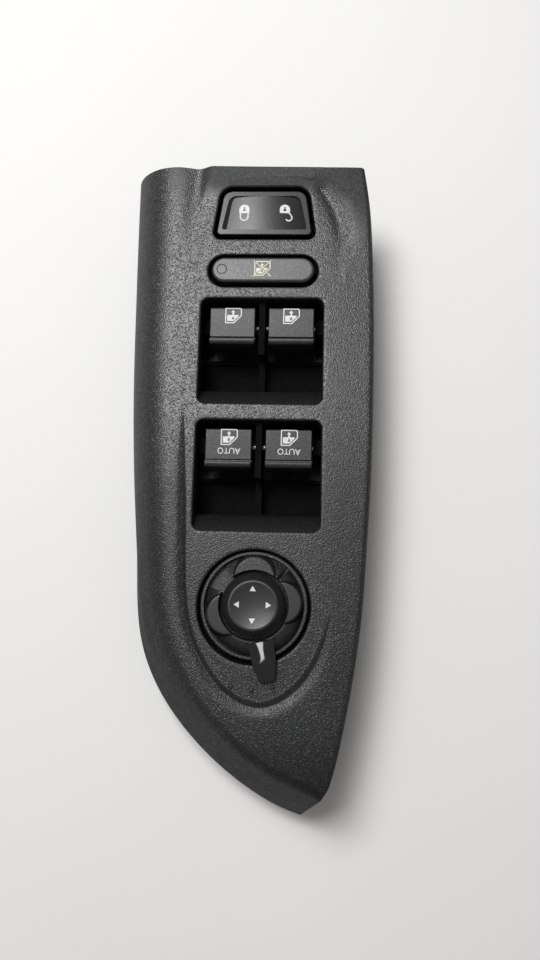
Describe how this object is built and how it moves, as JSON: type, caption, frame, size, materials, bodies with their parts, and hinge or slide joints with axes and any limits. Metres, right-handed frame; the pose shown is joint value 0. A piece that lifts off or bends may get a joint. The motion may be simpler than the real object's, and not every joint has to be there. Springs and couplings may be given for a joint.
{
  "type": "car door switch",
  "caption": "Driver's door switch panel for a car: curved black fascia with window keys, lock rocker, lock-out button and mirror selector.",
  "frame": {"origin": "middle of the panel's length and width, on the flat rear cover that it rests on", "axes": "+Z out of the door trim towards the user, +Y towards the panel's broad end, +X towards its low right edge"},
  "size_m": [0.099, 0.2534, 0.042],
  "materials": {
    "fascia_plastic": "fine spark grain",
    "button_plastic": "satin",
    "gloss_black": "gloss",
    "housing_plastic": "moulded",
    "cover_plastic": "moulded",
    "steel": "plated",
    "board": "lacquered board",
    "silicone": "soft",
    "contact_metal": "tinned",
    "lens": "smoked",
    "chip": "moulded",
    "led_white": "moulded"
  },
  "bodies": {
    "root": {"fascia": "fascia_plastic", "fascia_clips": "steel", "switch_carrier": "housing_plastic", "carrier_screws": "steel", "rear_cover": "cover_plastic", "cover_screws": "steel", "circuit_board": "board", "connector_header": "cover_plastic", "connector_pins": "contact_metal", "controller_chip": "chip", "dome_mat": "silicone", "backlight_leds": "led_white", "key_axle_rear": "steel", "key_axle_front": "steel", "mirror_base": "housing_plastic", "selector_detent_spring": "steel", "gimbal_end_pins": "steel"},
    "key_rear_left": {"key_rear_left": "button_plastic"},
    "key_rear_right": {"key_rear_right": "button_plastic"},
    "key_front_left": {"key_front_left": "button_plastic"},
    "key_front_right": {"key_front_right": "button_plastic"},
    "lock_rocker": {"lock_rocker": "gloss_black"},
    "lockout_button": {"lockout_button": "button_plastic", "indicator_lens": "lens"},
    "selector": {"selector_ring": "gloss_black", "selector_wiper": "contact_metal"},
    "gimbal": {"gimbal_ring": "housing_plastic", "gimbal_side_pins": "steel"},
    "knob": {"mirror_knob": "button_plastic", "knob_tilt_plate": "housing_plastic"}
  },
  "joints": [
    {"name": "key_rear_left_tilt", "type": "hinge", "parent": "root", "child": "key_rear_left", "pos_m": [0.01714, 0.06235, 0.027], "axis": [1, 0, 0], "range_deg": [-6.5, 6.5], "stiffness_Nm_per_rad": 0.4, "deforming": ["dome_mat"]},
    {"name": "key_rear_right_tilt", "type": "hinge", "parent": "root", "child": "key_rear_right", "pos_m": [-0.00606, 0.06235, 0.027], "axis": [1, 0, 0], "range_deg": [-6.5, 6.5], "stiffness_Nm_per_rad": 0.4, "deforming": ["dome_mat"]},
    {"name": "key_front_left_tilt", "type": "hinge", "parent": "root", "child": "key_front_left", "pos_m": [0.01714, 0.01325, 0.027], "axis": [1, 0, 0], "range_deg": [-6.5, 6.5], "stiffness_Nm_per_rad": 0.4, "deforming": ["dome_mat"]},
    {"name": "key_front_right_tilt", "type": "hinge", "parent": "root", "child": "key_front_right", "pos_m": [-0.00606, 0.01325, 0.027], "axis": [1, 0, 0], "range_deg": [-6.5, 6.5], "stiffness_Nm_per_rad": 0.4, "deforming": ["dome_mat"]},
    {"name": "lock_rocker_tilt", "type": "hinge", "parent": "root", "child": "lock_rocker", "pos_m": [0.00554, 0.10675, 0.031], "axis": [0, 1, 0], "range_deg": [-4.5, 4.5], "stiffness_Nm_per_rad": 0.6, "deforming": ["dome_mat"]},
    {"name": "lockout_button_press", "type": "slide", "parent": "root", "child": "lockout_button", "axis": [0, 0, -1], "range_m": [0, 0.0015], "stiffness_N_per_m": 1500, "deforming": ["dome_mat"]},
    {"name": "selector_turn", "type": "hinge", "parent": "root", "child": "selector", "pos_m": [0.00554, -0.04805, 0.033], "axis": [0, 0, 1], "range_deg": [-28, 0]},
    {"name": "gimbal_tilt", "type": "hinge", "parent": "root", "child": "gimbal", "pos_m": [0.00554, -0.04805, 0.032], "axis": [0, 1, 0], "range_deg": [-5, 5], "stiffness_Nm_per_rad": 0.3, "deforming": ["dome_mat"]},
    {"name": "knob_tilt", "type": "hinge", "parent": "gimbal", "child": "knob", "pos_m": [0.00554, -0.04805, 0.032], "axis": [1, 0, 0], "range_deg": [-5, 5], "stiffness_Nm_per_rad": 0.3, "deforming": ["dome_mat"]}
  ]
}
